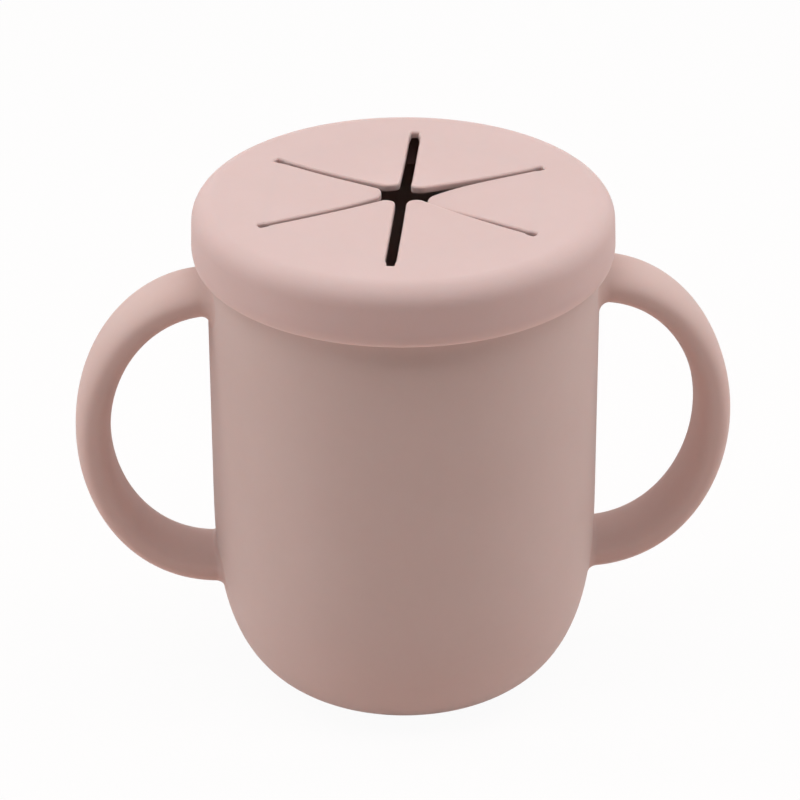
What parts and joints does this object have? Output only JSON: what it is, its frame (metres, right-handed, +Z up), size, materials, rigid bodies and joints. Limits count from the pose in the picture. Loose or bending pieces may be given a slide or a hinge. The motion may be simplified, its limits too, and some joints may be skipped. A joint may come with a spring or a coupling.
{
  "type": "toddler snack cup",
  "caption": "Two-handled soft silicone snack cup with a press-on lid whose star-cut flaps bend to let a small hand in and keep snacks from spilling.",
  "frame": {"origin": "centre of the foot, on the surface that the cup stands on", "axes": "+Z up through the lid; X through both handles; Y from front to back"},
  "size_m": [0.126, 0.0794, 0.1],
  "materials": {
    "cup_silicone": "matte, velvety dusty pink silicone",
    "lid_silicone": "matte, velvety dusty pink silicone"
  },
  "bodies": {
    "cup": {"cup_shell": "cup_silicone", "handle_right": "cup_silicone", "handle_left": "cup_silicone"},
    "seal_ring": {"seal_ring": "lid_silicone"},
    "lid": {"lid_shell": "lid_silicone"},
    "flap_1": {"flap_1": "lid_silicone"},
    "flap_2": {"flap_2": "lid_silicone"},
    "flap_3": {"flap_3": "lid_silicone"},
    "flap_4": {"flap_4": "lid_silicone"},
    "flap_5": {"flap_5": "lid_silicone"},
    "flap_6": {"flap_6": "lid_silicone"}
  },
  "joints": [
    {"name": "lid_lift", "type": "slide", "parent": "cup", "child": "seal_ring", "axis": [0, 0, 1], "range_m": [0, 0.03]},
    {"name": "lid_turn", "type": "hinge", "parent": "seal_ring", "child": "lid", "pos_m": [0, 0, 0.1], "axis": [0, 0, 1], "continuous": true},
    {"name": "flap_1_bend", "type": "hinge", "parent": "lid", "child": "flap_1", "pos_m": [0.01551, 0.01936, 0.09925], "axis": [-0.7804, 0.6252, 0], "range_deg": [-75, 75], "stiffness_Nm_per_rad": 0.003},
    {"name": "flap_2_bend", "type": "hinge", "parent": "lid", "child": "flap_2", "pos_m": [-0.00901, 0.02312, 0.09925], "axis": [-0.9317, -0.3633, 0], "range_deg": [-75, 75], "stiffness_Nm_per_rad": 0.003},
    {"name": "flap_3_bend", "type": "hinge", "parent": "lid", "child": "flap_3", "pos_m": [-0.02453, 0.00375, 0.09925], "axis": [-0.1513, -0.9885, 0], "range_deg": [-75, 75], "stiffness_Nm_per_rad": 0.003},
    {"name": "flap_4_bend", "type": "hinge", "parent": "lid", "child": "flap_4", "pos_m": [-0.01551, -0.01936, 0.09925], "axis": [0.7804, -0.6252, 0], "range_deg": [-75, 75], "stiffness_Nm_per_rad": 0.003},
    {"name": "flap_5_bend", "type": "hinge", "parent": "lid", "child": "flap_5", "pos_m": [0.00901, -0.02312, 0.09925], "axis": [0.9317, 0.3633, 0], "range_deg": [-75, 75], "stiffness_Nm_per_rad": 0.003},
    {"name": "flap_6_bend", "type": "hinge", "parent": "lid", "child": "flap_6", "pos_m": [0.02453, -0.00375, 0.09925], "axis": [0.1513, 0.9885, 0], "range_deg": [-75, 75], "stiffness_Nm_per_rad": 0.003}
  ]
}
